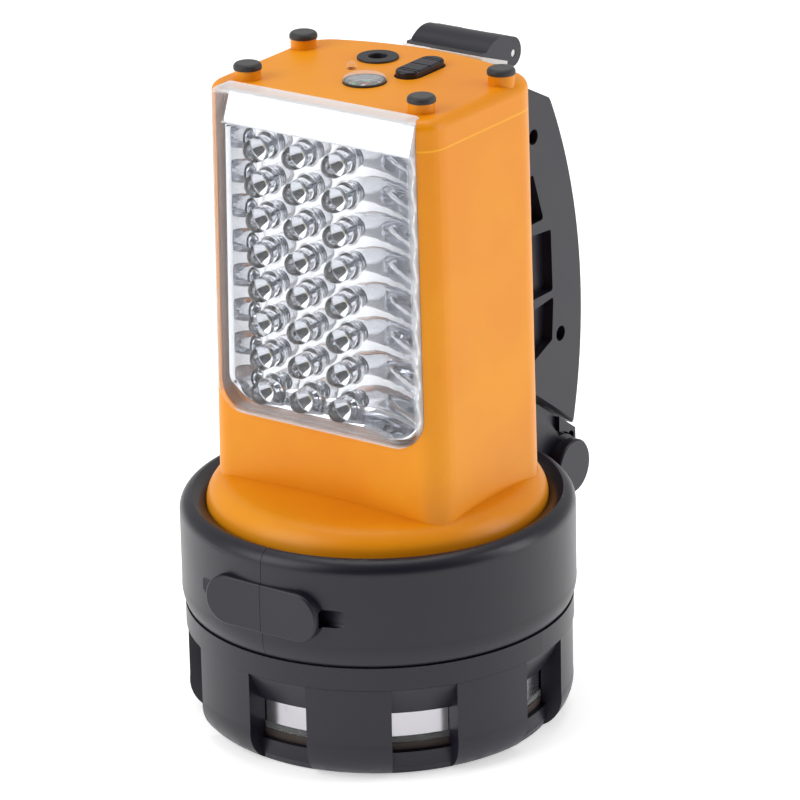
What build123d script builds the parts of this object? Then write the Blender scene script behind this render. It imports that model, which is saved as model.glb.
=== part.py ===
from build123d import *
import math
import os

os.makedirs("parts", exist_ok=True)

# Rechargeable searchlight lantern, standing on its guard ring with the spotlight facing down.
# Origin: spotlight axis on the standing face. +Z up, -Y out of the LED window, +Y to the handle.

# ---- driving dimensions, mm ----
BAND_R = 64.0          # black collar round the spotlight
CROWN_TOP = 39.5       # guard ring height
COLLAR_TOP = 75.6
SKIRT_R = 55.2         # foot of the orange housing, inside the collar
SEAM_Z = 203.5         # split between housing and top cap
BODY_TOP = 213.0
WALL = 2.6
GAP = 0.15             # between pieces that are assembled side by side
FRONT_Y = -29.5        # flat front of the housing
TILT_Y, TILT_Z = 82.2, 59.9        # handle hinge, axis along X
FLIP_Y, FLIP_Z = 60.0, 208.3       # auxiliary lamp hinge, axis along X
HANDLE_HALF = 15.7


def save(part, name):
    part.label = name
    export_step(part, f"parts/{name}.step")


def revolve_ring(points, plane=Plane.XZ, arc=360.0):
    """Solid of revolution about Z from a closed outline of (radius, height) points."""
    with BuildPart() as ring:
        with BuildSketch(plane):
            with BuildLine():
                Polyline(*points, close=True)
            make_face()
        revolve(axis=Axis.Z, revolution_arc=arc)
    return ring.part


def disc_on_x(radius, x_from, x_to, y, z):
    """Round solid along X between two stations."""
    with BuildPart() as disc:
        with BuildSketch(Plane.YZ.offset(x_from)):
            with Locations((y, z)):
                Circle(radius)
        extrude(amount=x_to - x_from)
    return disc.part


# ---- guard ring (crown) ----
CROWN_R = 62.6
CROWN_BORE = 55.6
LIP_R = 49.5
LIP_TOP = 7.7
STEP_Z = 31.5
LOW_WALL_R = 57.2
SLOT_TOP = 21.5
SLOTS = 8
SLOT_ARC = 19.7
SLOT_TURN = 3.0        # first slot, measured from the LED side

with BuildPart() as crown_guard:
    with BuildSketch(Plane.XZ):
        with BuildLine():
            Line((LIP_R, 0), (55.6, 0))
            ThreePointArc((55.6, 0), (60.6, 4.0), (CROWN_R, 12.5))
            Polyline((CROWN_R, 12.5), (CROWN_R, STEP_Z), (CROWN_R + 0.5, STEP_Z + 0.4), (CROWN_R + 0.5, CROWN_TOP),
                     (60.9, CROWN_TOP), (60.9, 32.0), (CROWN_BORE, 32.0), (CROWN_BORE, LIP_TOP), (LIP_R, LIP_TOP),
                     (LIP_R, 0))
        make_face()
    revolve(axis=Axis.Z)
    slot_face = [(CROWN_R - 0.2, STEP_Z), (LOW_WALL_R, SLOT_TOP), (CROWN_BORE - 3, SLOT_TOP),
                 (CROWN_BORE - 3, LIP_TOP + 0.01), (LOW_WALL_R, LIP_TOP), (LOW_WALL_R, 2.5), (LOW_WALL_R - 1.6, -1),
                 (70, -1), (70, STEP_Z)]
    slot_cut = revolve_ring(slot_face, arc=SLOT_ARC)
    for index in range(SLOTS):
        turn = -90 - SLOT_ARC / 2 + SLOT_TURN + index * 360 / SLOTS
        add(slot_cut.rotate(Axis.Z, turn), mode=Mode.SUBTRACT)
save(crown_guard.part, "crown_guard")

# ---- spotlight: gasket, glass, reflector, bulb ----
GASKET_TOP = 10.2
LENS_TOP = 12.8
REFLECTOR_R = 55.2
FOCAL = 13.6
DISH_RIM_R = 52.6
DISH_FLOOR_Z = 16.0
BULB_HOLE_R = 8.0
DISH_TOP_Z = DISH_FLOOR_Z + (DISH_RIM_R ** 2 - BULB_HOLE_R ** 2) / (4 * FOCAL)


def dish_z(radius):
    return DISH_FLOOR_Z + (DISH_RIM_R ** 2 - radius ** 2) / (4 * FOCAL)


save(revolve_ring([(50.0, LIP_TOP), (55.3, LIP_TOP), (55.3, GASKET_TOP), (50.0, GASKET_TOP)]), "lens_gasket")

with BuildPart() as spot_lens:
    with BuildSketch(Plane.XY.offset(GASKET_TOP)):
        Circle(REFLECTOR_R)
    extrude(amount=LENS_TOP - GASKET_TOP)
    chamfer(spot_lens.edges(), 0.4)
save(spot_lens.part, "spot_lens")

with BuildPart() as spot_reflector:
    with BuildSketch(Plane.XZ):
        with BuildLine():
            dish = [(r, dish_z(r)) for r in (DISH_RIM_R, 42.0, 30.0, 18.0, BULB_HOLE_R)]
            Spline(*dish)
            Polyline(dish[-1], (BULB_HOLE_R, DISH_TOP_Z + 6), (BULB_HOLE_R + 2.4, DISH_TOP_Z + 6),
                     (BULB_HOLE_R + 2.4, DISH_TOP_Z + 1.6))
            Spline(*[(r + 0.9, dish_z(r) + 1.8) for r in (BULB_HOLE_R + 1.5, 18.0, 30.0, 42.0, DISH_RIM_R - 1.2)])
            Line((BULB_HOLE_R + 2.4, DISH_TOP_Z + 1.6), (BULB_HOLE_R + 2.4, dish_z(BULB_HOLE_R + 1.5) + 1.8))
            last = (DISH_RIM_R - 0.3, dish_z(DISH_RIM_R - 1.2) + 1.8)
            Polyline(last, (53.9, 20.5), (53.9, 31.0), (REFLECTOR_R, 31.0), (REFLECTOR_R, LENS_TOP), (DISH_RIM_R, LENS_TOP),
                     dish[0])
        make_face()
    revolve(axis=Axis.Z)
save(spot_reflector.part, "spot_reflector")

with BuildPart() as spot_bulb:
    with BuildSketch(Plane.XZ):
        with BuildLine():
            ThreePointArc((0, 36), (3.8, 37.6), (5.4, 41.2))
            Polyline((5.4, 41.2), (5.4, 60), (0, 60), (0, 36))
        make_face()
    revolve(axis=Axis.Z)
save(spot_bulb.part, "spot_bulb")

with BuildPart() as bulb_holder:
    with BuildSketch(Plane.XY.offset(60)):
        Circle(BULB_HOLE_R - 0.1)
    extrude(amount=DISH_TOP_Z + 6.05 - 60)
    with BuildSketch(Plane.XY.offset(DISH_TOP_Z + 6.05)):
        Circle(13)
    extrude(amount=4)
    with BuildSketch(Plane.XY.offset(DISH_TOP_Z + 10)):
        RectangleRounded(12, 8, 1)
    extrude(amount=3)
save(bulb_holder.part, "bulb_holder")

# ---- collar halves, split on the plane X = 0 ----
COLLAR_FOOT = CROWN_TOP + 0.25
EAR_IN, EAR_OUT = 14.5, 17.0
BOSS_R = 8.0
STUB_FACE_Y = -65.0
STUB_X, STUB_Z = 1.0, 56.4
STUB_LENGTH, STUB_HEIGHT = 41.0, 16.6
TUNNEL_Y = (-63.2, -57.6)
TUNNEL_HALF_Z = 2.95
TUNNEL_Z = 56.4


def collar_half(side):
    """One moulded half of the collar; side is +1 for the right half."""
    with BuildPart() as half:
        with BuildSketch(Plane.XZ):
            with BuildLine():
                Polyline((57.8, 32.4), (60.7, 32.4), (60.7, COLLAR_FOOT), (62.5, COLLAR_FOOT))
                ThreePointArc((62.5, COLLAR_FOOT), (63.6, 42.4), (BAND_R, 47.0))
                Line((BAND_R, 47.0), (BAND_R, 70.6))
                ThreePointArc((BAND_R, 70.6), (62.7, 74.1), (60.0, COLLAR_TOP))
                ThreePointArc((60.0, COLLAR_TOP), (57.6, 74.6), (SKIRT_R + 0.3, 73.0))
                Polyline((SKIRT_R + 0.3, 73.0), (SKIRT_R + 0.3, 64), (58.2, 64), (58.2, 71.2), (61.4, 69.6),
                         (61.4, 45), (57.8, 45), (57.8, 32.4))
            make_face()
        revolve(axis=Axis.Z)
        # strap bridge: a flat oval pad standing off the front of the band
        with BuildPart(mode=Mode.PRIVATE) as pad:
            with BuildSketch(Plane.XZ.offset(-STUB_FACE_Y)):
                with Locations((STUB_X, STUB_Z)):
                    SlotOverall(STUB_LENGTH, STUB_HEIGHT)
            extrude(amount=-7.6)
            fillet(pad.faces().sort_by(Axis.Y)[0].edges(), 0.8)
        add(pad.part)
        # bracket root behind the band
        with BuildSketch(Plane.YZ):
            with BuildLine():
                Polyline((61.6, 43), (69, 43), (69, 52.5), (61.6, 52.5), close=True)
            make_face()
        extrude(amount=EAR_OUT, both=True)
        with BuildSketch(Plane.YZ.offset(EAR_IN)):
            with BuildLine():
                Polyline((61.6, 43), (69, 43), (78, 50), (84, 54), (84, 66), (81.2, 69.9), (79.9, 71.7), (71.5, 81.5),
                         (66.6, 85.2), (63.0, 86.0), (61.0, 84.0), (60.6, 74.0), close=True)
            make_face()
            with Locations((TILT_Y, TILT_Z)):
                Circle(10.2)
        extrude(amount=EAR_OUT - EAR_IN)
        mirror(about=Plane.YZ)
        with BuildSketch(Plane.YZ.offset(EAR_OUT)):
            with Locations((TILT_Y, TILT_Z)):
                Circle(BOSS_R)
        extrude(amount=1.8)
        # hole for the hinge axle, strap tunnel, screw hole
        add(disc_on_x(5.0, -30, 30, TILT_Y, TILT_Z), mode=Mode.SUBTRACT)
        add(disc_on_x(1.6, -30, 30, 65.4, 47.8), mode=Mode.SUBTRACT)
        add(disc_on_x(3.2, 12.5, 30, 65.4, 47.8), mode=Mode.SUBTRACT)
        with BuildSketch(Plane.YZ.offset(-34)):
            with Locations((sum(TUNNEL_Y) / 2, TUNNEL_Z)):
                RectangleRounded(TUNNEL_Y[1] - TUNNEL_Y[0], 2 * TUNNEL_HALF_Z, 1.6)
        extrude(amount=68, mode=Mode.SUBTRACT)
        # keep one side of the parting plane
        with BuildSketch(Plane.XY):
            with Locations((-side * 150 + side * GAP / 2, 0)):
                Rectangle(300, 300)
        extrude(amount=120, mode=Mode.SUBTRACT)
    return half.part


save(collar_half(1), "collar_right")
save(collar_half(-1), "collar_left")

# ---- orange housing and top cap, split at SEAM_Z ----
BASE_Z = 64.5          # foot of the skirt, inside the collar
TOP_OUTLINE = (39.4, 43.4, 39.8)      # front half, side half, arch Y
LOW_OUTLINE = (42.2, 45.2, 41.3)
SIDE_FRONT_Y = -20.0   # where the rounded front corner meets the flat side
REAR_CORNER_Y = 29.5
LOFT_FOOT = 76.5
SHOULDER_Z, SHOULDER_BEND, SHOULDER_TOP = 73.4, 8.5, 83.4
FRONT_RADIUS, REAR_RADIUS = 8.0, 13.0


def shell_section(outline, inset):
    """Box with a flat front, rounded front corners and an arched back, drawn inset from the outer wall."""
    front_half, side_half, arch_y = outline
    with BuildSketch() as section:
        with BuildLine():
            Line((-front_half, FRONT_Y), (front_half, FRONT_Y))
            TangentArc((side_half, SIDE_FRONT_Y), (front_half, FRONT_Y), tangent=(0, -1))
            Line((side_half, SIDE_FRONT_Y), (side_half, REAR_CORNER_Y))
            ThreePointArc((side_half, REAR_CORNER_Y), (0, arch_y), (-side_half, REAR_CORNER_Y))
            Line((-side_half, REAR_CORNER_Y), (-side_half, SIDE_FRONT_Y))
            TangentArc((-side_half, SIDE_FRONT_Y), (-front_half, FRONT_Y), tangent=(0, -1))
        make_face()
        fillet(section.vertices().group_by(Axis.Y)[0], FRONT_RADIUS)
        fillet(section.vertices().filter_by(lambda v: v.Y > 20), REAR_RADIUS)
        if inset:
            offset(amount=-inset)
    return section.sketch


def shell_loft(inset, z_low, z_high):
    with BuildPart() as body:
        with BuildSketch(Plane.XY.offset(z_low)):
            add(shell_section(LOW_OUTLINE, inset))
        with BuildSketch(Plane.XY.offset(z_high)):
            add(shell_section(TOP_OUTLINE, inset))
        loft()
    return body.part


def skirt_dome(inset):
    """Round shoulder that carries the squarish tube down to the collar."""
    radius = SKIRT_R - inset
    bend = SHOULDER_BEND - inset
    with BuildPart() as dome:
        with BuildSketch(Plane.XZ):
            with BuildLine():
                Polyline((0, SHOULDER_TOP - inset), (0, BASE_Z), (radius, BASE_Z), (radius, SHOULDER_Z))
                RadiusArc((radius, SHOULDER_Z), (radius - bend, SHOULDER_Z + bend), -bend)
                Polyline((radius - bend, SHOULDER_Z + bend), (24, SHOULDER_TOP - inset), (0, SHOULDER_TOP - inset))
            make_face()
        revolve(axis=Axis.Z)
    return dome.part


# LED window, drawn in the XZ plane
WINDOW_TOP, WINDOW_LOW = 213.6, 105.3
WINDOW_TOP_HALF, WINDOW_LOW_HALF = 37.9, 39.2
WINDOW_TOP_RADIUS, WINDOW_LOW_RADIUS = 3.2, 10.5
COVER_FACE_Y = -32.4
COVER_WALL = 1.7
TRAY_TOP = 200.5
COVER_SEAT_Y = -24.6
TRAY_FACE_Y = -19.0
TRAY_BACK_Y = -17.6


def window_face(grow):
    with BuildSketch() as face:
        with BuildLine():
            Polyline((-WINDOW_LOW_HALF, WINDOW_LOW), (WINDOW_LOW_HALF, WINDOW_LOW), (WINDOW_TOP_HALF, WINDOW_TOP),
                     (-WINDOW_TOP_HALF, WINDOW_TOP), close=True)
        make_face()
        fillet(face.vertices().group_by(Axis.Y)[0], WINDOW_LOW_RADIUS)
        fillet(face.vertices().filter_by(lambda v: v.Y > 150), WINDOW_TOP_RADIUS)
        if grow:
            offset(amount=grow)
    return face.sketch


def window_block(grow, y_front, y_back):
    """The window outline, grown or shrunk, as a solid between two depths."""
    with BuildPart() as block:
        with BuildSketch(Plane.XZ.offset(-y_front)):
            add(window_face(grow))
        extrude(amount=y_front - y_back)
    return block.part


POST_X = (33.1, 38.0)
POST_Y = (-18.3, 18.3)
POST_SPOTS = [(-POST_X[0], POST_Y[0]), (POST_X[0], POST_Y[0]), (-POST_X[1], POST_Y[1]), (POST_X[1], POST_Y[1])]
POST_R = 4.2
POST_TOP = BODY_TOP + 3.2
JACK_SPOT = (-10.6, 20.6)
JACK_R = 6.7
COMPASS_SPOT = (0.6, -2.6)
COMPASS_R = 6.9
LAMP_SPOT = (-11.2, 7.0)
SWITCH_SPOT = (8.6, 16.2)
SWITCH_LENGTH, SWITCH_WIDTH = 20.6, 8.3
SWITCH_GAP = 0.5       # leaves the rocker room to tilt

with BuildPart() as shell:
    add(shell_loft(0, LOFT_FOOT, BODY_TOP))
    fillet(shell.edges().group_by(Axis.Z)[-1], 3.4)
    add(skirt_dome(0))
    with BuildPart(mode=Mode.PRIVATE) as cavity:
        add(shell_loft(WALL, LOFT_FOOT - 0.5, BODY_TOP - WALL))
        add(skirt_dome(WALL))
        add(window_block(2.4, -60, TRAY_BACK_Y), mode=Mode.SUBTRACT)
    add(cavity.part, mode=Mode.SUBTRACT)
    with BuildSketch(Plane.XY.offset(BASE_Z - 1)):
        Circle(SKIRT_R - WALL)
    extrude(amount=5, mode=Mode.SUBTRACT)
    add(window_block(GAP, -60, COVER_SEAT_Y), mode=Mode.SUBTRACT)
    with BuildSketch(Plane.XZ.offset(-TRAY_BACK_Y - 3)):
        add(window_face(-COVER_WALL))
        with Locations((0, TRAY_TOP + 20)):
            Rectangle(100, 40 - 0.6, mode=Mode.SUBTRACT)
    extrude(amount=20, mode=Mode.SUBTRACT)

with BuildPart() as body_housing:
    add(shell.part)
    split(bisect_by=Plane.XY.offset(SEAM_Z), keep=Keep.BOTTOM)
save(body_housing.part, "body_housing")

with BuildPart() as top_cap:
    add(shell.part)
    split(bisect_by=Plane.XY.offset(SEAM_Z), keep=Keep.TOP)
    with BuildSketch(Plane.XY.offset(BODY_TOP - WALL)):
        with Locations(*POST_SPOTS):
            Circle(POST_R)
    extrude(amount=POST_TOP - BODY_TOP + WALL)
    with BuildSketch(Plane.XY.offset(BODY_TOP - WALL - 3)):
        with Locations(*POST_SPOTS):
            Circle(1.6)
        with Locations(JACK_SPOT):
            Circle(JACK_R - 1.2)
        with Locations(COMPASS_SPOT):
            Circle(COMPASS_R + 0.1)
        with Locations(LAMP_SPOT):
            Circle(1.6)
        with Locations(SWITCH_SPOT):
            SlotOverall(SWITCH_LENGTH + 2 * SWITCH_GAP, SWITCH_WIDTH + 2 * SWITCH_GAP, rotation=90)
    extrude(amount=12, mode=Mode.SUBTRACT)
save(top_cap.part, "top_cap")

# ---- rubber feet on the four posts ----
with BuildPart() as rubber_feet:
    for spot in POST_SPOTS:
        with BuildSketch(Plane.XY.offset(POST_TOP)):
            with Locations(spot):
                Circle(POST_R + 0.35)
        extrude(amount=2.0)
        with BuildSketch(Plane.XY.offset(BODY_TOP - WALL)):
            with Locations(spot):
                Circle(1.5)
        extrude(amount=POST_TOP - BODY_TOP + WALL)
    fillet(rubber_feet.edges().group_by(Axis.Z)[-1], 1.3)
save(rubber_feet.part, "rubber_feet")

# ---- LED lamp behind the window ----
LED_COLUMNS = [-25.5, -10.5, 4.5]
LED_ROWS = 8
LED_TOP_Z = 192.6
LED_PITCH_Z = 11.6
LED_SPOTS = [(x, LED_TOP_Z - row * LED_PITCH_Z) for x in LED_COLUMNS for row in range(LED_ROWS)]
LED_R = 3.9
LED_CENTRE_Y = -26.0
BOARD_FACE_Y = -16.9

with BuildPart() as led_cover:
    add(window_block(0, COVER_FACE_Y, COVER_SEAT_Y - 0.05))
    fillet(led_cover.faces().sort_by(Axis.Y)[0].edges(), 1.7)
    add(window_block(-COVER_WALL, COVER_FACE_Y + COVER_WALL, COVER_SEAT_Y + 2), mode=Mode.SUBTRACT)
save(led_cover.part, "led_cover")

with BuildPart() as led_reflector:
    with BuildSketch(Plane.XZ.offset(-TRAY_BACK_Y)):
        add(window_face(-COVER_WALL - 0.2))
        with Locations((0, TRAY_TOP + 20)):
            Rectangle(100, 40, mode=Mode.SUBTRACT)
    extrude(amount=TRAY_BACK_Y - TRAY_FACE_Y)
    with BuildSketch(Plane.XZ.offset(-TRAY_BACK_Y)):
        with Locations(*LED_SPOTS):
            Circle(LED_R + 0.15)
    extrude(amount=10, mode=Mode.SUBTRACT)
save(led_reflector.part, "led_reflector")

with BuildPart() as leds:
    with BuildSketch(Plane.XZ.offset(-BOARD_FACE_Y)):
        with Locations(*LED_SPOTS):
            Circle(LED_R)
    extrude(amount=BOARD_FACE_Y - LED_CENTRE_Y)
    with Locations(*[(x, LED_CENTRE_Y, z) for x, z in LED_SPOTS]):
        Sphere(LED_R)
save(leds.part, "leds")

with BuildPart() as led_board:
    with Locations((0, BOARD_FACE_Y + 0.8, (LED_TOP_Z + WINDOW_LOW) / 2 + 3)):
        Box(70, 1.6, 96)
save(led_board.part, "led_board")

# ---- battery, charging board and what the top cap carries ----
with BuildPart() as battery:
    with Locations((0, 6.6, 137.5)):
        Box(70, 41, 101)
    fillet(battery.edges().filter_by(Axis.Z), 2)
    with Locations((-24, -6, 189.4), (24, -6, 189.4)):
        Box(4.8, 0.8, 3.0)
save(battery.part, "battery")

with BuildPart() as control_board:
    with Locations((0, 12, 200.8)):
        Box(62, 40, 1.6)
save(control_board.part, "control_board")

with BuildPart() as dc_jack:
    with BuildSketch(Plane.XY.offset(BODY_TOP)):
        with Locations(JACK_SPOT):
            Circle(JACK_R)
    extrude(amount=0.8)
    with BuildSketch(Plane.XY.offset(201.7)):
        with Locations(JACK_SPOT):
            Circle(JACK_R - 1.3)
    extrude(amount=BODY_TOP - 201.7)
    with BuildSketch(Plane.XY.offset(203.2)):
        with Locations(JACK_SPOT):
            Circle(3.05)
    extrude(amount=12, mode=Mode.SUBTRACT)
    fillet(dc_jack.edges().group_by(Axis.Z)[-1], 0.35)
save(dc_jack.part, "dc_jack")

with BuildPart() as jack_pin:
    with BuildSketch(Plane.XY.offset(203.2)):
        with Locations(JACK_SPOT):
            Circle(1.0)
    extrude(amount=8.2)
    fillet(jack_pin.edges().group_by(Axis.Z)[-1], 0.6)
save(jack_pin.part, "jack_pin")

with BuildPart() as charge_lamp:
    with BuildSketch(Plane.XY.offset(201.7)):
        with Locations(LAMP_SPOT):
            Circle(1.5)
    extrude(amount=BODY_TOP + 0.9 - 201.7)
    with Locations((LAMP_SPOT[0], LAMP_SPOT[1], BODY_TOP + 0.9)):
        Sphere(1.5)
save(charge_lamp.part, "charge_lamp")

# compass: cup, free card on a needle point, glass dome
with BuildPart() as compass_cup:
    with BuildSketch(Plane.XY.offset(206.4)):
        with Locations(COMPASS_SPOT):
            Circle(COMPASS_R)
    extrude(amount=BODY_TOP + 0.6 - 206.4)
    with BuildSketch(Plane.XY.offset(207.4)):
        with Locations(COMPASS_SPOT):
            Circle(COMPASS_R - 0.9)
    extrude(amount=8, mode=Mode.SUBTRACT)
    with BuildSketch(Plane.XY.offset(206.6)):
        with Locations(COMPASS_SPOT):
            Circle(0.5)
    extrude(amount=4.2)
save(compass_cup.part, "compass_cup")

with BuildPart() as compass_card:
    with BuildSketch(Plane.XY.offset(211.3)):
        with Locations(COMPASS_SPOT):
            Circle(COMPASS_R - 1.4)
    extrude(amount=0.9)
save(compass_card.part, "compass_card")

with BuildPart() as compass_glass:
    with BuildSketch(Plane.XY.offset(BODY_TOP + 0.6)):
        with Locations(COMPASS_SPOT):
            Circle(COMPASS_R - 0.1)
    extrude(amount=1.5)
    fillet(compass_glass.edges().group_by(Axis.Z)[-1], 1.3)
save(compass_glass.part, "compass_glass")

# rocker switch, tilting about X below the cap
ROCKER_AXIS_Z = 209.5
with BuildPart() as switch_rocker:
    with BuildSketch(Plane.XY.offset(208.5)):
        with Locations(SWITCH_SPOT):
            SlotOverall(SWITCH_LENGTH, SWITCH_WIDTH, rotation=90)
    extrude(amount=BODY_TOP + 2.2 - 208.5)
    fillet(switch_rocker.edges().group_by(Axis.Z)[-1], 0.8)
    for offset_y in (-7.4, -5.9, 0, 5.9, 7.4):
        with Locations((SWITCH_SPOT[0], SWITCH_SPOT[1] + offset_y, BODY_TOP + 2.2)):
            Box(12, 0.5, 0.9, mode=Mode.SUBTRACT)
    pivot_reach = SWITCH_WIDTH / 2 + 0.3
    add(disc_on_x(1.0, SWITCH_SPOT[0] - pivot_reach, SWITCH_SPOT[0] + pivot_reach, SWITCH_SPOT[1], ROCKER_AXIS_Z))
save(switch_rocker.part, "switch_rocker")

with BuildPart() as switch_body:
    with Locations((SWITCH_SPOT[0], SWITCH_SPOT[1], 204.2)):
        Box(SWITCH_WIDTH + 3, SWITCH_LENGTH + 4, 5)
save(switch_body.part, "switch_body")

# ---- handle: hinge block and two hollow grip shells ----
CUT_LOW = (92.6, 70.7)      # oblique split between grip and hinge block, outer end
CUT_HIGH = (61.5, 92.7)     # and its end at the finger side
GRIP_TOP = (80.7, 187.9)
BLOCK_CLEAR = 10.8
SCREW_SPOTS = [(69.5, 177.6), (84.5, 105.3)]
BLOCK_SCREW = (90.0, 66.9)

with BuildPart() as hinge_block:
    with BuildSketch(Plane.YZ):
        with Locations((TILT_Y, TILT_Z)):
            Circle(12.4)
        with BuildLine():
            Polyline((70.2, 62), (67.4, 87.2), (92.9, 69.2), (93.2, 62.0), close=True)
        make_face()
    extrude(amount=EAR_IN - 0.4, both=True)
    with BuildSketch(Plane.YZ):
        with BuildLine():
            Polyline((83.2, 62.0), (83.2, 76.0), (92.9, 69.2), (93.2, 62.0), close=True)
        make_face()
        with Locations((TILT_Y, TILT_Z)):
            Circle(BLOCK_CLEAR, mode=Mode.SUBTRACT)
    extrude(amount=HANDLE_HALF, both=True)
    add(disc_on_x(5.06, -30, 30, TILT_Y, TILT_Z), mode=Mode.SUBTRACT)
    add(disc_on_x(2.0, 11, 30, *BLOCK_SCREW), mode=Mode.SUBTRACT)
save(hinge_block.part, "hinge_block")


def grip_profile(inset):
    """Side view of the grip, drawn with Y to the right and Z up."""
    with BuildSketch() as profile:
        with BuildLine():
            ThreePointArc(CUT_LOW, (97.8, 122.0), GRIP_TOP)
            Polyline(GRIP_TOP, (44.6, 206.2), (44.6, 187.0))
            palm = ThreePointArc(CUT_HIGH, (64.6, 126.0), (59.4, 160.0))
            TangentArc((59.4, 160.0), (44.6, 187.0), tangent=palm % 1)
            Line(CUT_HIGH, CUT_LOW)
        make_face()
        fillet(profile.vertices().filter_by(lambda v: v.Y > 180), 2.0)
        if inset:
            offset(amount=-inset)
    return profile.sketch


POCKETS = [
    [(64.0, 163.5), (69.0, 165.0), (75.0, 148.0), (65.4, 148.0)],
    [(66.2, 144.2), (79.2, 143.2), (80.0, 121.8), (66.8, 121.8)],
    [(66.8, 118.0), (80.4, 119.4), (79.4, 104.6), (66.6, 99.6)],
]


def grip_half(side):
    """Hollow half of the grip with three recessed panels; side is +1 for the right half."""
    with BuildPart() as half:
        with BuildSketch(Plane.YZ):
            add(grip_profile(0))
        extrude(amount=side * HANDLE_HALF)
        outer = half.faces().sort_by(Axis.X)[-1 if side > 0 else 0]
        chamfer(outer.edges(), 1.0)
        with BuildPart(mode=Mode.PRIVATE) as hollow:
            with BuildSketch(Plane.YZ):
                add(grip_profile(2.8))
            extrude(amount=side * 9.6)
            for y, z in SCREW_SPOTS:
                add(disc_on_x(4.4, -20, 20, y, z), mode=Mode.SUBTRACT)
        add(hollow.part, mode=Mode.SUBTRACT)
        for points in POCKETS:
            with BuildSketch(Plane.YZ.offset(side * 12.2)) as pocket:
                with BuildLine():
                    Polyline(*points, close=True)
                make_face()
                fillet(pocket.vertices(), 1.0)
            extrude(amount=side * 6, mode=Mode.SUBTRACT)
        # lug for the auxiliary lamp
        with BuildSketch(Plane.YZ):
            with BuildLine():
                Polyline((56.4, 199.4), (56.2, 208.3), (63.8, 208.3), (63.8, 195.0), close=True)
            make_face()
            with Locations((FLIP_Y, FLIP_Z)):
                Circle(3.9)
        extrude(amount=side * 5.6)
        add(disc_on_x(1.25, -20, 20, FLIP_Y, FLIP_Z), mode=Mode.SUBTRACT)
        for y, z in SCREW_SPOTS:
            add(disc_on_x(1.25, -11, 30, y, z), mode=Mode.SUBTRACT)
            if side > 0:
                add(disc_on_x(2.6, 7, 30, y, z), mode=Mode.SUBTRACT)
        with BuildSketch(Plane.XZ):
            with Locations((-side * 40 + side * GAP / 2, 140)):
                Rectangle(80, 200)
        extrude(amount=300, both=True, mode=Mode.SUBTRACT)
    return half.part


save(grip_half(1), "grip_right")
save(grip_half(-1), "grip_left")

# ---- hinge hardware ----
AXLE_R = 4.97
with BuildPart() as hinge_axle:
    add(disc_on_x(AXLE_R, -EAR_OUT - 1.0, EAR_OUT + 1.7, TILT_Y, TILT_Z))
    add(disc_on_x(8.6, -EAR_OUT - 2.6, -EAR_OUT - 0.05, TILT_Y, TILT_Z))
    add(disc_on_x(2.5, 4, 30, TILT_Y, TILT_Z), mode=Mode.SUBTRACT)
    chamfer(hinge_axle.faces().sort_by(Axis.X)[0].edges(), 0.8)
save(hinge_axle.part, "hinge_axle")

BUTTON_R = 9.35
BUTTON_FACE_X = 22.4
BUTTON_TRAVEL = 2.0
BUTTON_STEM_X = 18.2   # the stem stays outside the turning block when pressed
with BuildPart() as tilt_button:
    add(disc_on_x(BUTTON_R, EAR_OUT + BUTTON_TRAVEL + 0.3, BUTTON_FACE_X, TILT_Y, TILT_Z))
    chamfer(tilt_button.faces().sort_by(Axis.X)[-1].edges(), 0.5)
    add(disc_on_x(BOSS_R + 0.3, 10, BUTTON_FACE_X - 1.4, TILT_Y, TILT_Z), mode=Mode.SUBTRACT)
    add(disc_on_x(2.44, BUTTON_STEM_X, BUTTON_FACE_X - 1, TILT_Y, TILT_Z))
save(tilt_button.part, "tilt_button")


def screw_on_x(x_head, x_tip, y, z, head_r, shank_r):
    with BuildPart() as screw:
        add(disc_on_x(shank_r, x_tip, x_head - 1.6, y, z))
        add(disc_on_x(head_r, x_head - 1.8, x_head, y, z))
        with Locations((x_head, y, z)):
            Box(1.6, 0.7, head_r * 1.3, mode=Mode.SUBTRACT)
            Box(1.6, head_r * 1.3, 0.7, mode=Mode.SUBTRACT)
    return screw.part


with BuildPart() as grip_screws:
    for y, z in SCREW_SPOTS:
        add(screw_on_x(8.8, -9.0, y, z, 2.4, 1.2))
save(grip_screws.part, "grip_screws")
save(screw_on_x(14.4, -14.4, 65.4, 47.8, 2.9, 1.5), "collar_screw")

# ---- auxiliary lamp that flips up from the top of the handle ----
FLIP_HALF = 14.7
LENS_SLOPE = 19.2
LENS_FRONT = (40.8, 210.4)
slope_y = math.cos(math.radians(LENS_SLOPE))
slope_z = -math.sin(math.radians(LENS_SLOPE))


def along(run, rise):
    """Point in the YZ plane, run along the sloping lamp face and rise square to it."""
    return (LENS_FRONT[0] + run * slope_y - rise * slope_z, LENS_FRONT[1] + run * slope_z + rise * slope_y)


def flip_slab(run_from, run_to, rise_from, rise_to, half):
    with BuildPart() as slab:
        with BuildSketch(Plane.YZ):
            with BuildLine():
                Polyline(along(run_from, rise_from), along(run_to, rise_from), along(run_to, rise_to),
                         along(run_from, rise_to), close=True)
            make_face()
        extrude(amount=half, both=True)
    return slab.part


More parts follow.
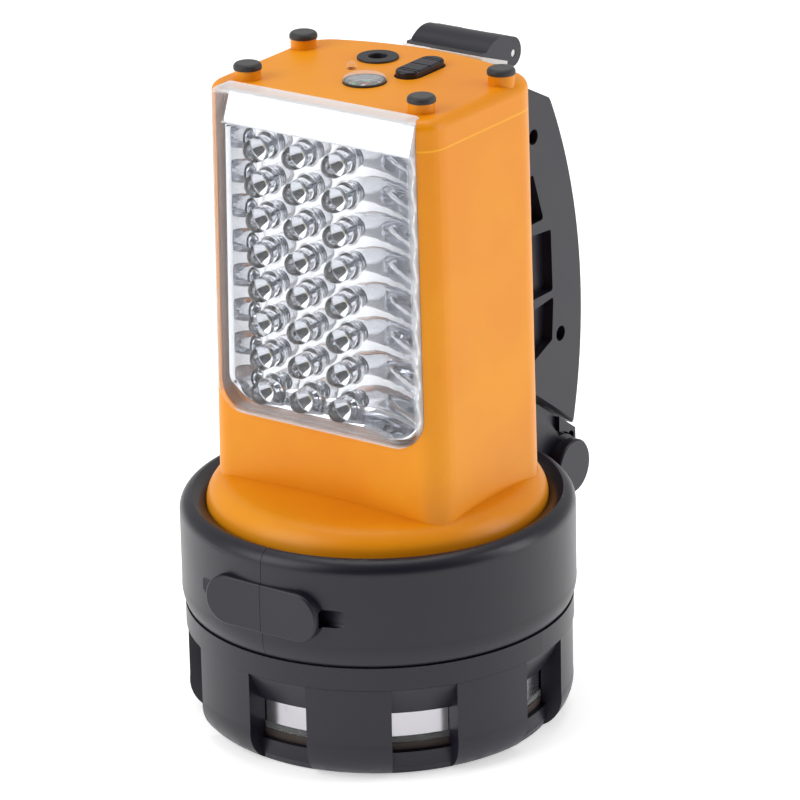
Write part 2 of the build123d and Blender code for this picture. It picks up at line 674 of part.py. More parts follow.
FACE_RUN = 15.4
with BuildPart() as flip_cover:
    with BuildSketch(Plane.YZ):
        with BuildLine():
            Polyline(along(1.0, 1.65), along(1.0, 2.6), along(3.2, 3.2))
            ThreePointArc(along(3.2, 3.2), (50.6, 215.3), (59.0, 213.9))
            ThreePointArc((59.0, 213.9), (63.9, 210.9), (64.2, 206.9))
            ThreePointArc((64.2, 206.9), (62.2, 204.5), along(19.6, 0.0))
            Polyline(along(19.6, 0.0), along(FACE_RUN, 0.0), along(FACE_RUN, 1.65), along(1.0, 1.65))
        make_face()
    extrude(amount=FLIP_HALF, both=True)
    add(flip_slab(4.4, FACE_RUN - 0.1, -3, 3.2, FLIP_HALF - 1.6), mode=Mode.SUBTRACT)
    with BuildSketch(Plane.YZ):
        with Locations((FLIP_Y, FLIP_Z)):
            Circle(4.6)
        with BuildLine():
            Polyline((55.8, 198), (55.8, 209.2), (60, 209.2), (60, 220), (70, 220), (70, 198), close=True)
        make_face()
    extrude(amount=6.0, both=True, mode=Mode.SUBTRACT)
    add(disc_on_x(1.22, -20, 20, FLIP_Y, FLIP_Z), mode=Mode.SUBTRACT)
save(flip_cover.part, "flip_cover")

save(flip_slab(0.0, FACE_RUN - 0.1, 0.0, 1.6, FLIP_HALF + 0.6), "flip_lens")
with BuildPart() as flip_reflector:
    add(flip_slab(4.6, FACE_RUN - 0.4, 1.65, 3.0, FLIP_HALF - 1.8))
save(flip_reflector.part, "flip_reflector")

with BuildPart() as flip_pin:
    add(disc_on_x(1.2, -FLIP_HALF + 0.2, FLIP_HALF - 0.2, FLIP_Y, FLIP_Z))
save(flip_pin.part, "flip_pin")
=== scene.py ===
# %% [markdown]
# # A rechargeable searchlight lantern
# The lantern stands on its guard ring with the big spot lens facing down. An orange tower holds the battery and
# a window of small lamps, a black collar and a notched crown guard protect the spot, and a carrying handle hinges
# on the back. The solid model of every part is loaded first. Everything after it only gives those parts their
# finish or adds finer detail.

import math

import bmesh
import bpy
from mathutils import Matrix, Vector


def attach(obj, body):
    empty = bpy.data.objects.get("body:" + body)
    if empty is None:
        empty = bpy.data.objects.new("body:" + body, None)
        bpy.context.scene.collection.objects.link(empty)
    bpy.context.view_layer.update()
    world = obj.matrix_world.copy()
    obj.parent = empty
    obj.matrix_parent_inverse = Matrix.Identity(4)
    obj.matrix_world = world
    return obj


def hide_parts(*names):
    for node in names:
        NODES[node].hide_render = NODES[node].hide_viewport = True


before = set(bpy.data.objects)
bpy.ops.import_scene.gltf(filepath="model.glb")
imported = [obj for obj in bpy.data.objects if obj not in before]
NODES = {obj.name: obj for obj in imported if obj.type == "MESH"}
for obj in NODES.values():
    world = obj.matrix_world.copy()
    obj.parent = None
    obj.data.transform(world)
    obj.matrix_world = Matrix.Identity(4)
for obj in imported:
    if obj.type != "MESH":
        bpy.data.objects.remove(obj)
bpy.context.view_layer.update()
MM = 0.001

# %% [markdown]
# ## Where the eye is
# A long lens from well away keeps the tower's edges nearly parallel, as product pictures do. The camera could
# be aimed with a constraint, but a plain matrix from three unit vectors leaves nothing to evaluate, and lets it
# lean by the small roll that a hand-levelled tripod has.

# %% Camera
EYE = Vector((0.8719, -1.2181, 0.6733))
LOOK_BACK = Vector((0.54025, -0.76323, 0.35441))
LOOK_RIGHT = Vector((0.81621, 0.57775, 0.0))
LOOK_UP = Vector((-0.20476, 0.28927, 0.93509))
ROLL = math.radians(-1.2427)

lens_data = bpy.data.cameras.new("product_camera")
lens_data.lens, lens_data.sensor_width = 225.0, 36.0
lens_data.clip_end = 30.0
camera = bpy.data.objects.new("product_camera", lens_data)
bpy.context.scene.collection.objects.link(camera)
side = LOOK_RIGHT * math.cos(ROLL) + LOOK_UP * math.sin(ROLL)
top = LOOK_UP * math.cos(ROLL) - LOOK_RIGHT * math.sin(ROLL)
camera.matrix_world = Matrix.Translation(EYE) @ Matrix((side, top, LOOK_BACK)).transposed().to_4x4()
bpy.context.scene.camera = camera
print("camera", round(EYE.length, 3), "m away")

# %% [markdown]
# ## Arithmetic on sockets
# Every finish below is a small sum: grain plus clouding plus scratches. Typing node names for each plus sign
# hides that sum, so one class wraps a socket and gives it the usual operators, and one class places any other
# node.

# %% Wires and boards
class Wire:
    """An output socket that can be added, multiplied and compared in plain Python."""

    def __init__(self, board, socket):
        self.board, self.socket = board, socket

    def calc(self, operation, *terms):
        return self.board.node("ShaderNodeMath", {"operation": operation}, dict(enumerate(terms)))

    def __add__(self, other):
        return self.calc("ADD", self, other)

    def __sub__(self, other):
        return self.calc("SUBTRACT", self, other)

    def __rsub__(self, other):
        return self.calc("SUBTRACT", other, self)

    def __mul__(self, other):
        return self.calc("MULTIPLY", self, other)

    def __gt__(self, other):
        return self.calc("GREATER_THAN", self, other)

    def __lt__(self, other):
        return self.calc("LESS_THAN", self, other)

    __radd__, __rmul__ = __add__, __mul__

    def ramp(self, low, high, start=0.0, end=1.0):
        """Moves smoothly from start to end as the value goes from low to high."""
        return self.board.node(
            "ShaderNodeMapRange",
            {"interpolation_type": "SMOOTHSTEP"},
            {0: self, 1: low, 2: high, 3: start, 4: end},
        )


class Board:
    """Places nodes in one tree."""

    def __init__(self, tree):
        self.tree = tree
        tree.nodes.clear()

    def node(self, kind, settings=None, inputs=None, out=0):
        made = self.tree.nodes.new(kind)
        for key, value in (settings or {}).items():
            if key == "stops":
                stops = made.color_ramp.elements
                while len(stops) < len(value):
                    stops.new(1.0)
                for stop, (place, colour) in zip(stops, value):
                    stop.position, stop.color = place, colour
            else:
                setattr(made, key, value)
        for key, value in (inputs or {}).items():
            if isinstance(value, Wire):
                self.tree.links.new(value.socket, made.inputs[key])
            else:
                made.inputs[key].default_value = value
        return Wire(self, made.outputs[out]) if made.outputs else None

    def place(self):
        """The point's place on the object, in metres."""
        return self.node("ShaderNodeTexCoord", out=3)

    def xyz(self):
        return [self.node("ShaderNodeSeparateXYZ", inputs={0: self.place()}, out=k) for k in range(3)]

    def noise(self, scale, detail=2.0, stretch=(1, 1, 1), rough=0.5):
        spot = self.place()
        if stretch != (1, 1, 1):
            spot = self.node("ShaderNodeMapping", inputs={"Vector": spot, "Scale": stretch})
        return self.node(
            "ShaderNodeTexNoise",
            inputs={"Vector": spot, "Scale": scale, "Detail": detail, "Roughness": rough},
        )

    def blend(self, first, second, share):
        return self.node("ShaderNodeMix", {"data_type": "RGBA"}, {0: share, 6: first, 7: second}, out=2)

    def bump(self, height, strength, depth):
        return self.node(
            "ShaderNodeBump", inputs={"Height": height, "Strength": strength, "Distance": depth}
        )


def new_finish(name):
    finish = bpy.data.materials.new(name)
    finish.use_nodes = True
    return finish, Board(finish.node_tree)


def close_finish(board, **sockets):
    """Ends a tree in one Principled shader. Underscores in the names stand for spaces."""
    named = {key.replace("_", " "): value for key, value in sockets.items()}
    shader = board.node("ShaderNodeBsdfPrincipled", inputs=named)
    board.node("ShaderNodeOutputMaterial", inputs={"Surface": shader})


def rgb(red, green, blue):
    """A linear colour from the 0 to 255 values of a paint chart."""
    chart = [value / 255 for value in (red, green, blue)]
    return tuple(c / 12.92 if c <= 0.04045 else ((c + 0.055) / 1.055) ** 2.4 for c in chart) + (1.0,)


print("deep orange", [round(c, 3) for c in rgb(240, 140, 20)])

# %% [markdown]
# ## The studio
# A white sheet on a table, a wide soft box to the left, a narrower one to the right and one overhead. Towards
# the tower's front corner the room is dim, which darkens that corner and gives the metallised parts something
# dark to mirror. The room could be a picture of a studio, but a sky colour that only depends on direction does
# the same with a few numbers.

# %% Floor, room and lamps
CENTRE = Vector((0.0, 0.0, 0.11))
FLOOR_HALF = 6.0

ground = bmesh.new()
for x, y in ((-1, -1), (1, -1), (1, 1), (-1, 1)):
    ground.verts.new((x * FLOOR_HALF, y * FLOOR_HALF, -0.0002))
ground.faces.new(ground.verts)
floor_mesh = bpy.data.meshes.new("table_sheet")
ground.to_mesh(floor_mesh)
ground.free()
floor = bpy.data.objects.new("table_sheet", floor_mesh)
bpy.context.scene.collection.objects.link(floor)
paper, board = new_finish("white_paper")
close_finish(
    board,
    Base_Color=(0.93, 0.93, 0.93, 1.0),
    Roughness=0.85,
    Specular_IOR_Level=0.1,
    Emission_Color=(1.0, 1.0, 1.0, 1.0),
    Emission_Strength=0.5,
    Normal=board.bump(board.noise(60.0), 0.05, 0.0002),
)
floor_mesh.materials.append(paper)

room = bpy.data.worlds.new("room")
room.use_nodes = True
bpy.context.scene.world = room
board = Board(room.node_tree)
toward = board.node(
    "ShaderNodeVectorMath", {"operation": "DOT_PRODUCT"},
    {0: board.node("ShaderNodeTexCoord", out=0), 1: (0.58, -0.81, 0.05)}, out=1,
)
BRIGHT_SIDE, DIM_SIDE = 0.56, 0.06
glow = board.node(
    "ShaderNodeBackground",
    inputs={"Color": (1.0, 1.0, 1.0, 1.0), "Strength": toward.ramp(0.2, 0.85, BRIGHT_SIDE, DIM_SIDE)},
)
board.node("ShaderNodeOutputWorld", inputs={"Surface": glow})


def soft_box(name, place, width, height, watts):
    data = bpy.data.lights.new(name, "AREA")
    data.shape, data.size, data.size_y, data.energy = "RECTANGLE", width, height, watts
    box = bpy.data.objects.new(name, data)
    bpy.context.scene.collection.objects.link(box)
    aim = (Vector(place) - CENTRE).to_track_quat("Z", "Y")
    box.matrix_world = Matrix.Translation(place) @ aim.to_matrix().to_4x4()
    return box


FLAT_BACK = Vector((LOOK_BACK.x, LOOK_BACK.y, 0)).normalized()
UP = Vector((0, 0, 1))
lamps = [
    soft_box("left_box", CENTRE - LOOK_RIGHT * 1.1 + FLAT_BACK * 0.5 + UP * 0.7, 0.9, 1.1, 9.5),
    soft_box("right_box", CENTRE + LOOK_RIGHT * 1.2 + FLAT_BACK * 0.1 + UP * 0.4, 0.4, 1.0, 4.6),
    soft_box("over_box", CENTRE - FLAT_BACK * 0.2 + UP * 1.3, 1.0, 0.8, 6.5),
]
bpy.context.scene.view_settings.view_transform = "Standard"
print("lamps", [lamp.name for lamp in lamps])

# %% [markdown]
# ## Moulded plastic
# The tower is orange ABS and the guards are black ABS from spark-eroded moulds: a satin skin with a grain of a
# few hundredths of a millimetre, faint clouding where the melt cooled, and hair-fine handling scratches. One
# function makes these and the duller black inside, because only colour, gloss and the amount of wear differ.

# %% Satin moulded plastics
def moulded(name, deep, pale, gloss, grain=0.12, scratches=0.5, seam_highlight_z=None, shine=0.5):
    finish, board = new_finish(name)
    cloud = board.noise(22.0, 3.0).ramp(0.3, 0.7)
    fine = board.noise(1500.0, 2.0)
    swirl = board.noise(70.0, 4.0, (1.0, 0.35, 4.0), 0.7)
    hair = swirl.ramp(0.62, 0.68) * board.noise(900.0, 1.0, (0.06, 1.0, 1.0)).ramp(0.58, 0.7)
    height = board.xyz()[2]
    low_scuff = height.ramp(0.014, 0.0) * board.noise(260.0, 4.0).ramp(0.45, 0.62)
    worn = (hair * scratches + low_scuff * 0.6 * scratches).calc("MINIMUM", hair * scratches + low_scuff, 1.0)
    lift = cloud * 0.35 + worn * 0.4
    # A paler line along the cap seam is a painted highlight on the seam's edge, not a colour of the plastic.
    if seam_highlight_z is not None:
        lift = lift + (height - seam_highlight_z).calc("ABSOLUTE", height - seam_highlight_z).ramp(0.0004, 0.00015) * 0.9
    tone = board.blend(deep, pale, lift)
    close_finish(
        board,
        Base_Color=tone,
        Roughness=gloss + cloud * 0.06 + worn * 0.12 + (fine - 0.5) * 0.08,
        IOR=1.5,
        Specular_IOR_Level=shine,
        Normal=board.bump(fine + cloud * 0.6 + worn * 0.4, grain, 0.00012),
    )
    return finish


CAP_SEAM_Z = 0.2035
orange_abs = moulded(
    "orange_abs", rgb(232, 140, 0), rgb(248, 172, 28), 0.36, scratches=0.25, seam_highlight_z=CAP_SEAM_Z, shine=0.3
)
black_abs = moulded(
    "black_abs", (0.0075, 0.0065, 0.0130, 1), (0.018, 0.0165, 0.030, 1), 0.33, grain=0.16, shine=0.42
)
dark_abs = moulded("dark_abs", (0.02, 0.02, 0.023, 1), (0.03, 0.03, 0.034, 1), 0.5, grain=0.2)
print("plastics", orange_abs.name, black_abs.name, dark_abs.name)

# %% [markdown]
# ## Rubber
# The gasket and the four feet are moulded rubber, duller than the plastic and a touch dusty. A cloth-like sheen
# at grazing angles reads as rubber more than any colour does.

# %% Rubber
def rubbery(name, deep, pale, gloss):
    finish, board = new_finish(name)
    pores = board.noise(2200.0, 3.0)
    bloom = board.noise(140.0, 4.0, rough=0.7).ramp(0.42, 0.7)
    close_finish(
        board,
        Base_Color=board.blend(deep, pale, bloom * 0.6),
        Roughness=gloss + bloom * 0.12 + pores * 0.06,
        Sheen_Weight=0.25,
        Sheen_Roughness=0.4,
        Normal=board.bump(pores + bloom * 0.5, 0.3, 0.00015),
    )
    return finish


black_rubber = rubbery("black_rubber", (0.012, 0.012, 0.013, 1), (0.045, 0.043, 0.042, 1), 0.5)
brown_gasket = rubbery("gasket_rubber", (0.040, 0.026, 0.021, 1), (0.075, 0.052, 0.044, 1), 0.62)
print("rubbers", black_rubber.name, brown_gasket.name)

# %% [markdown]
# ## Clear plastics and glass
# The window over the lamps is clear polycarbonate. Light has to pass it twice to reach the mirror and come
# back, which true refraction makes noisy, so the cover lets light straight through and reflects more as the
# view grazes it, where it also turns more opaque and whitish: a painted reflection. Its opacity also rises at
# the rims, a painted highlight for the white that light makes in a thick edge. The little lamps are different:
# their round noses must bend what is behind them, so they get real refraction.

# %% Clear parts
RIM_TAPER = 0.0125
RIM_SIDE, RIM_FOOT, RIM_HEAD = (0.0388, 0.0402), (0.1078, 0.1058), (0.2112, 0.2128)


def see_through(name, tint, haze, edge, gloss, rim_highlight=0.0):
    finish, board = new_finish(name)
    rim = board.node("ShaderNodeLayerWeight", inputs={"Blend": 0.35}, out=1)
    smear = board.noise(45.0, 4.0, (1.0, 1.0, 0.4)).ramp(0.45, 0.75)
    # Whitish opacity that grows as the view grazes the surface is a painted reflection; the rim bands below add a
    # painted highlight.
    body = haze + smear * 0.015 + rim * rim * edge
    if rim_highlight:
        x, _, z = board.xyz()
        flank = (x.calc("ABSOLUTE", x) + z * RIM_TAPER).ramp(*RIM_SIDE)
        head_and_foot = z.ramp(*RIM_FOOT) + z.ramp(*RIM_HEAD)
        body = body + (flank + head_and_foot) * rim_highlight
    close_finish(
        board,
        Base_Color=tint,
        Roughness=gloss + smear * 0.05,
        IOR=1.58,
        Specular_IOR_Level=0.9,
        Alpha=body.calc("MINIMUM", body, 0.95),
        Normal=board.bump(board.noise(35.0, 1.0), 0.08, 0.0004),
    )
    return finish


def refracting(name, tint, gloss, index=1.53):
    finish, board = new_finish(name)
    flow = board.noise(160.0, 1.0)
    close_finish(
        board,
        Base_Color=tint,
        Roughness=gloss + flow * 0.02,
        IOR=index,
        Transmission_Weight=1.0,
        Normal=board.bump(flow, 0.04, 0.0003),
    )
    return finish


clear_cover = see_through("clear_polycarbonate", (0.93, 0.95, 0.97, 1), 0.02, 0.6, 0.04, rim_highlight=0.38)
spot_glass = see_through("spot_glass", (0.93, 0.97, 0.96, 1), 0.10, 0.6, 0.03)
lamp_epoxy = refracting("lamp_epoxy", (0.90, 0.91, 0.94, 1), 0.0)
bulb_glass = refracting("bulb_glass", (0.95, 0.97, 0.97, 1), 0.0, 1.47)
small_glazing = see_through("small_glazing", (0.93, 0.95, 0.97, 1), 0.06, 0.6, 0.04)
# The flip lamp's lens is half opaque and whitish: a painted highlight for the bright lines light draws along its
# edges.
edge_lit = see_through("edge_lit_acrylic", (0.95, 0.96, 0.97, 1), 0.55, 0.4, 0.06)
print("clear parts", clear_cover.name, spot_glass.name, lamp_epoxy.name)

# %% [markdown]
# ## Metal
# The reflectors are plastic with a mirror of vacuum-deposited aluminium, which follows every ripple of the
# moulding, so the ripple is in the bump and the mirror itself stays sharp. The spot's reflector is seen from its
# duller side. Screws and pins are zinc-plated steel with a slight brushed direction.

# %% Metals
def metallic(name, colour, gloss, ripple, ripple_scale, streak=0.0):
    finish, board = new_finish(name)
    wave = board.noise(ripple_scale, 2.0)
    drawn = board.noise(1200.0, 2.0, (1.0, 1.0, 0.08))
    haze = board.noise(90.0, 4.0, rough=0.7).ramp(0.5, 0.8)
    dull = tuple(0.75 * c for c in colour[:3]) + (1.0,)
    close_finish(
        board,
        Base_Color=board.blend(colour, dull, haze * 0.5 + drawn * streak),
        Metallic=1.0,
        Roughness=gloss + haze * 0.08 + drawn * streak * 0.2,
        Normal=board.bump(wave + drawn * streak, ripple, 0.0006),
    )
    return finish


mirror = metallic("aluminised_mirror", (0.66, 0.68, 0.72, 1), 0.03, 0.10, 90.0)
skirt_metal = metallic("aluminised_skirt", (0.50, 0.49, 0.52, 1), 0.22, 0.10, 90.0)
zinc = metallic("zinc_steel", (0.62, 0.62, 0.60, 1), 0.22, 0.05, 300.0, 0.5)
print("metals", mirror.name, zinc.name)

# %% [markdown]
# ## The dial card
# The compass card is a printed disc that turns in a dark cup under a clear dome. Its print is a rule on angle
# and distance from the pivot, so a few comparisons on polar coordinates draw it: a red and white needle, green
# marks and white degree ticks. It carries no letters.

# %% Compass print
DIAL_X, DIAL_Y = 0.0006, -0.0026


def dial_print():
    finish, board = new_finish("dial_print")
    x, y, _ = board.xyz()
    x, y = x - DIAL_X, y - DIAL_Y
    reach = (x * x + y * y).calc("SQRT", x * x + y * y)
    turn = y.calc("ARCTAN2", y, x)
    wave = (turn * 4.0).calc("SINE", turn * 4.0)
    degree = (turn * 36.0).calc("SINE", turn * 36.0)
    ring = (reach > 0.0030) * (reach < 0.0044)
    rim = (reach > 0.0047) * (reach < 0.0053)
    needle = (x.calc("ABSOLUTE", x) < 0.00045) * (reach < 0.0028)
    tone = board.blend((0.012, 0.014, 0.014, 1), (0.01, 0.33, 0.09, 1), ring * (wave > 0.15))
    tone = board.blend(tone, (0.8, 0.8, 0.78, 1), rim * (degree > 0.4))
    tone = board.blend(tone, (0.7, 0.7, 0.68, 1), needle)
    tone = board.blend(tone, (0.6, 0.02, 0.02, 1), needle * (y > 0.0))
    flecks = board.noise(2500.0, 1.0)
    close_finish(
        board, Base_Color=tone, Roughness=0.35 + flecks * 0.15, Normal=board.bump(flecks, 0.05, 0.0001)
    )
    return finish


dial = dial_print()
print("dial centre", DIAL_X, DIAL_Y)

# %% [markdown]
# ## Circuit board and phosphor
# Behind the mirror lies a green glass-fibre board, and in each lamp a speck of yellow phosphor. Both only show
# as glints, yet a lamp without its yellow speck looks like an empty bead.

# %% Board and phosphor
def flecked(name, deep, pale, gloss, scale):
    finish, board = new_finish(name)
    weave = board.noise(scale, 2.0)
    close_finish(
        board,
        Base_Color=board.blend(deep, pale, weave.ramp(0.35, 0.65)),
        Roughness=gloss + weave * 0.1,
        Normal=board.bump(weave, 0.1, 0.0001),
    )
    return finish


green_board = flecked("green_board", (0.01, 0.08, 0.03, 1), (0.02, 0.13, 0.05, 1), 0.35, 900.0)
phosphor = flecked("phosphor", (0.75, 0.66, 0.30, 1), (0.85, 0.78, 0.42, 1), 0.6, 4000.0)
print("fillers", green_board.name, phosphor.name)

# %% [markdown]
# ## Dressing the solid parts
# Most shapes are final as they come from the solid model, with their fillets and chamfers, so they only change
# material. A table keeps that readable: one row for each finish.

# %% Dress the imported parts
DRESS = {
    orange_abs: ("body_housing", "top_cap"),
    black_abs: ("collar_left", "collar_right", "crown_guard", "grip_left", "grip_right", "hinge_block",
                "tilt_button", "flip_cover", "switch_rocker"),
    dark_abs: ("compass_cup", "switch_body", "dc_jack", "bulb_holder", "battery"),
    green_board: ("control_board", "led_board"),
    black_rubber: ("rubber_feet",),
    brown_gasket: ("lens_gasket",),
    clear_cover: ("led_cover",),
    small_glazing: ("compass_glass", "charge_lamp"),
    edge_lit: ("flip_lens",),
    spot_glass: ("spot_lens",),
    lamp_epoxy: ("leds",),
    bulb_glass: ("spot_bulb",),
    mirror: ("led_reflector", "flip_reflector"),
    skirt_metal: ("spot_reflector",),
    zinc: ("hinge_axle", "flip_pin", "jack_pin", "grip_screws", "collar_screw"),
    dial: ("compass_card",),
}
for finish, names in DRESS.items():
    for name in names:
        mesh = NODES[name].data
        mesh.materials.clear()
        mesh.materials.append(finish)
dressed = {name for names in DRESS.values() for name in names}
print("dressed", len(dressed), "left over", sorted(set(NODES) - dressed))

# %% [markdown]
# ## From points to a closed shape
# Turned parts such as the lamp noses are one outline swept round an axis. Spin in bmesh does it, but writing
# the rings by hand keeps both poles closed with a single point, which a refracting shape needs.

# %% Turned shapes
def keep_mesh(name, points, faces, finish, smooth=True):
    mesh = bpy.data.meshes.new(name)
    mesh.from_pydata(points, [], faces)
    shape = bmesh.new()
    shape.from_mesh(mesh)
    bmesh.ops.recalc_face_normals(shape, faces=shape.faces)
    shape.to_mesh(mesh)
    shape.free()
    mesh.materials.append(finish)
    for face in mesh.polygons:
        face.use_smooth = smooth
    made = bpy.data.objects.new(name, mesh)
    bpy.context.scene.collection.objects.link(made)
    return made


def turned(name, outline, finish, steps=24):
    """Sweeps (radius, reach) pairs round the -Y axis. The first and last radius are zero."""
    points = [(0.0, -outline[0][1] * MM, 0.0)]
    for radius, reach in outline[1:-1]:
        for k in range(steps):
            turn = math.tau * k / steps
            points.append((radius * MM * math.cos(turn), -reach * MM, radius * MM * math.sin(turn)))
    points.append((0.0, -outline[-1][1] * MM, 0.0))
    rings = len(outline) - 2
    last = len(points) - 1
    faces = [(0, 1 + k, 1 + (k + 1) % steps) for k in range(steps)]
    for ring in range(rings - 1):
        base = 1 + ring * steps
        for k in range(steps):
            step = (k + 1) % steps
            faces.append((base + k, base + step, base + steps + step, base + steps + k))
    base = 1 + (rings - 1) * steps
    faces += [(base + k, base + (k + 1) % steps, last) for k in range(steps)]
    return keep_mesh(name, points, faces, finish)


def dome(radius, start, steps=7):
    """Outline points of a round nose from its widest ring to its tip."""
    turns = [math.pi / 2 * k / steps for k in range(steps + 1)]
    nose = [(radius * math.cos(turn), start + radius * math.sin(turn)) for turn in turns[:-1]]
    return nose + [(0.0, start + radius * math.sin(turns[-1]))]


print("nose points", len(dome(3.9, 7.0)))

# %% [markdown]
# ## Copies on a grid
# Twenty-four lamps in three columns are a repeat with a rule, which is what geometry nodes are for. One tree lays
# copies on a grid. Its sizes are named inputs, each copy leans a hair at random from a fixed seed, and the
# result is realised and given its finish.

# %% Geometry tree
def new_tree(name, inputs):
    tree = bpy.data.node_groups.new(name, "GeometryNodeTree")
    tree.interface.new_socket("Geometry", in_out="OUTPUT", socket_type="NodeSocketGeometry")
    for label, kind in inputs:
        tree.interface.new_socket(label, in_out="INPUT", socket_type="NodeSocket" + kind)
    board = Board(tree)
    entry = tree.nodes.new("NodeGroupInput")
    return tree, board, {label: Wire(board, entry.outputs[label]) for label, _ in inputs}


def close_tree(board, copies, finish):
    whole = board.node("GeometryNodeRealizeInstances", inputs={0: copies})
    dressed_up = board.node("GeometryNodeSetMaterial", inputs={"Geometry": whole, "Material": finish})
    board.node("NodeGroupOutput", inputs={0: dressed_up})


GRID_INPUTS = [
    ("Columns", "Int"), ("Rows", "Int"), ("Column pitch", "Float"), ("Row pitch", "Float"),
    ("Centre", "Vector"), ("Lean", "Float"), ("Seed", "Int"), ("Shape", "Object"), ("Finish", "Material"),
]


def grid_tree():
    tree, board, given = new_tree("copies_on_a_grid", GRID_INPUTS)
    wide = (given["Columns"] - 1.0) * given["Column pitch"]
    tall = (given["Rows"] - 1.0) * given["Row pitch"]
    sheet = board.node(
        "GeometryNodeMeshGrid",
        inputs={
            "Size X": wide, "Size Y": tall, "Vertices X": given["Columns"], "Vertices Y": given["Rows"]
        },
    )
    upright = board.node(
        "GeometryNodeTransform",
        inputs={"Geometry": sheet, "Rotation": (math.pi / 2, 0, 0), "Translation": given["Centre"]},
    )
    least, most = (
        board.node("ShaderNodeVectorMath", {"operation": "SCALE"}, {0: (sign, sign, sign), 3: given["Lean"]})
        for sign in (-1, 1)
    )
    lean = board.node(
        "FunctionNodeRandomValue", {"data_type": "FLOAT_VECTOR"}, {0: least, 1: most, 8: given["Seed"]}
    )
    shape = board.node("GeometryNodeObjectInfo", inputs={"Object": given["Shape"]}, out=4)
    copies = board.node(
        "GeometryNodeInstanceOnPoints", inputs={"Points": upright, "Instance": shape, "Rotation": lean}
    )
    close_tree(board, copies, given["Finish"])
    return tree


def grown(name, tree, values, body, replaces=()):
    """Runs a tree once, keeps the result as a plain mesh and hangs it on a body."""
    carrier = bpy.data.objects.new(name + "_carrier", bpy.data.meshes.new(name + "_carrier"))
    bpy.context.scene.collection.objects.link(carrier)
    worker = carrier.modifiers.new("copies", "NODES")
    worker.node_group = tree
    names = {item.name: item.identifier for item in tree.interface.items_tree if item.in_out == "INPUT"}
    for label, value in values.items():
        worker[names[label]] = value
    bpy.context.view_layer.update()
    mesh = bpy.data.meshes.new_from_object(carrier.evaluated_get(bpy.context.evaluated_depsgraph_get()))
    carrier.modifiers.remove(worker)
    bpy.data.objects.remove(carrier)
    mesh.name = name
    made = bpy.data.objects.new(name, mesh)
    bpy.context.scene.collection.objects.link(made)
    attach(made, body)
    if replaces:
        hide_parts(*replaces)
    print(name, len(mesh.polygons), "faces")
    return made


grid = grid_tree()

# %% [markdown]
# ## The lamps
# Each lamp is a clear epoxy bead: a round nose on a short barrel with a flange, and inside it a tiny metal cup
# with a speck of phosphor. The nose is a lens, so the cup looks several times its size, which is the dark star
# seen in every lamp.

# %% Twenty-four lamps
LAMP_BASE_Y = -18.9
LAMP_R, NOSE_START = 3.9, 7.0
ROW_PITCH, GRID_X, GRID_Z = 11.6, -10.5, 152.0
lamp_grid = {
    "Columns": 3, "Rows": 8, "Column pitch": 15.0 * MM, "Row pitch": ROW_PITCH * MM,
    "Centre": (GRID_X * MM, LAMP_BASE_Y * MM, GRID_Z * MM), "Lean": 0.03, "Seed": 7,
}
bead = turned(
    "bead",
    [(0, 0), (LAMP_R + 0.35, 0), (LAMP_R + 0.35, 0.7), (LAMP_R, 0.9), (LAMP_R, 3.0), (LAMP_R, 5.0)]
    + dome(LAMP_R, NOSE_START),
    lamp_epoxy,
)
cup = turned(
    "cup",
    [(0, 0.2), (0.5, 0.2), (0.5, 3.2), (1.5, 3.4), (2.1, 5.2), (1.9, 5.2), (1.0, 4.0), (0, 4.0)],
    zinc, 12,
)
speck = turned("speck", [(0, 4.02), (0.65, 4.05), (0.6, 4.2), (0, 4.3)], phosphor, 10)
flange = turned(
    "flange",
    [(0, -0.3), (LAMP_R + 0.95, -0.3), (LAMP_R + 0.95, 0.15), (LAMP_R + 0.7, 0.4), (LAMP_R + 0.45, 0.15),
     (LAMP_R + 0.40, -0.1), (0, -0.1)],
    mirror, 24,
)
for piece_name, shape, finish, slot_name, hidden in (
    ("lamp_beads", bead, lamp_epoxy, "led_clear", ("leds",)),
    ("lamp_cups", cup, mirror, "steel", ()),
    ("lamp_specks", speck, phosphor, "led_clear", ()),
    ("lamp_flanges", flange, mirror, "chrome", ()),
):
    grown(piece_name, grid, dict(lamp_grid, Shape=shape, Finish=finish), "lantern", hidden)
    bpy.data.objects.remove(shape)

# %% [markdown]
# ## The mirror tray
# Behind the lamps lies one metallised moulding: flat under the three columns, sweeping up towards the window at
# both sides and at the foot, with a ledge along the head and shallow ripples between the rows. A plain plate
# would mirror the beads but lose the stretched dark shapes at its right edge. A grid of points with a height
# rule gives the sweep.

# %% Mirror tray
TRAY_LOW, TRAY_HIGH = 107.4, 211.2
LEDGE_Z, LEDGE_RISE = 199.6, 9.9
TRAY_FLAT_Y = -19.0
SWEEP_START, SWEEP_RISE = 11.5, 9.0
LEFT_START, LEFT_RISE = -29.8, 8.5
FOOT_START, FOOT_RISE = 113.0, 6.0
CORNER = 9.0
HALF_WIDTH = 36.5
TALLEST = 10.4
ACROSS, UPWARDS = 72, 96


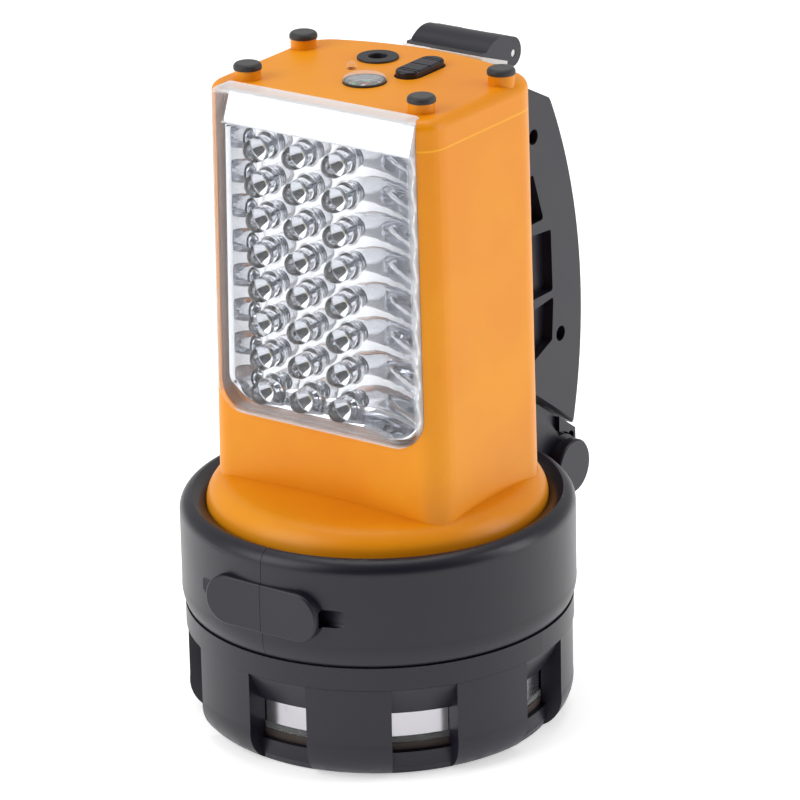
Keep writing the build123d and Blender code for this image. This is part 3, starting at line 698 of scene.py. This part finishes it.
def tray_half(z):
    """Half width at a height: slightly wider at the foot, with rounded lower corners."""
    half = 36.0 + 0.9 * (TRAY_HIGH - z) / (TRAY_HIGH - TRAY_LOW)
    inside = max(0.0, TRAY_LOW + CORNER - z)
    return half - (CORNER - math.sqrt(max(0.0, CORNER ** 2 - inside ** 2)))


def tray_point(x, z):
    sweep = max(0.0, (x - SWEEP_START) / (HALF_WIDTH - SWEEP_START))
    foot = max(0.0, (FOOT_START - z) / (FOOT_START - TRAY_LOW))
    ripple = 0.75 * sweep * math.sin(math.tau * (z - GRID_Z) / ROW_PITCH)
    ripple += 0.12 * sweep * math.sin(z * 2.7 + x)
    left = max(0.0, (LEFT_START - x) / (LEFT_START + HALF_WIDTH))
    rise = min(SWEEP_RISE * sweep ** 1.6 + LEFT_RISE * left ** 1.3 + FOOT_RISE * foot ** 2 + ripple, TALLEST)
    if z > LEDGE_Z:
        over = max(0.0, z - LEDGE_Z - 1.2)
        rise = max(min(rise, 6.0), min(LEDGE_RISE, 8.0 * (z - LEDGE_Z)) - 0.36 * over + 0.05 * math.sin(x))
    return (x * MM, (TRAY_FLAT_Y - rise) * MM, z * MM)


tray_heights = [TRAY_LOW + (LEDGE_Z - TRAY_LOW) * row / UPWARDS for row in range(UPWARDS + 1)]
LEDGE_LIFTS = (0.2, 0.5, 0.8, 1.1, 1.24, 2.0, 4.0, 6.0, 8.0, 10.0, TRAY_HIGH - LEDGE_Z)
tray_heights += [LEDGE_Z + lift for lift in LEDGE_LIFTS]
tray_points, tray_faces = [], []
for z in tray_heights:
    half = tray_half(z)
    tray_points += [tray_point(-half + 2 * half * col / ACROSS, z) for col in range(ACROSS + 1)]
for row in range(len(tray_heights) - 1):
    for col in range(ACROSS):
        low = row * (ACROSS + 1) + col
        tray_faces.append((low, low + 1, low + ACROSS + 2, low + ACROSS + 1))
tray = keep_mesh("mirror_tray", tray_points, tray_faces, mirror)
if tray.data.polygons[0].normal.y > 0:
    tray.data.flip_normals()
wall = tray.modifiers.new("wall", "SOLIDIFY")
wall.thickness, wall.offset = 1.0 * MM, -1.0
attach(tray, "lantern")
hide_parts("led_reflector")
print("tray", len(tray_faces), "faces")
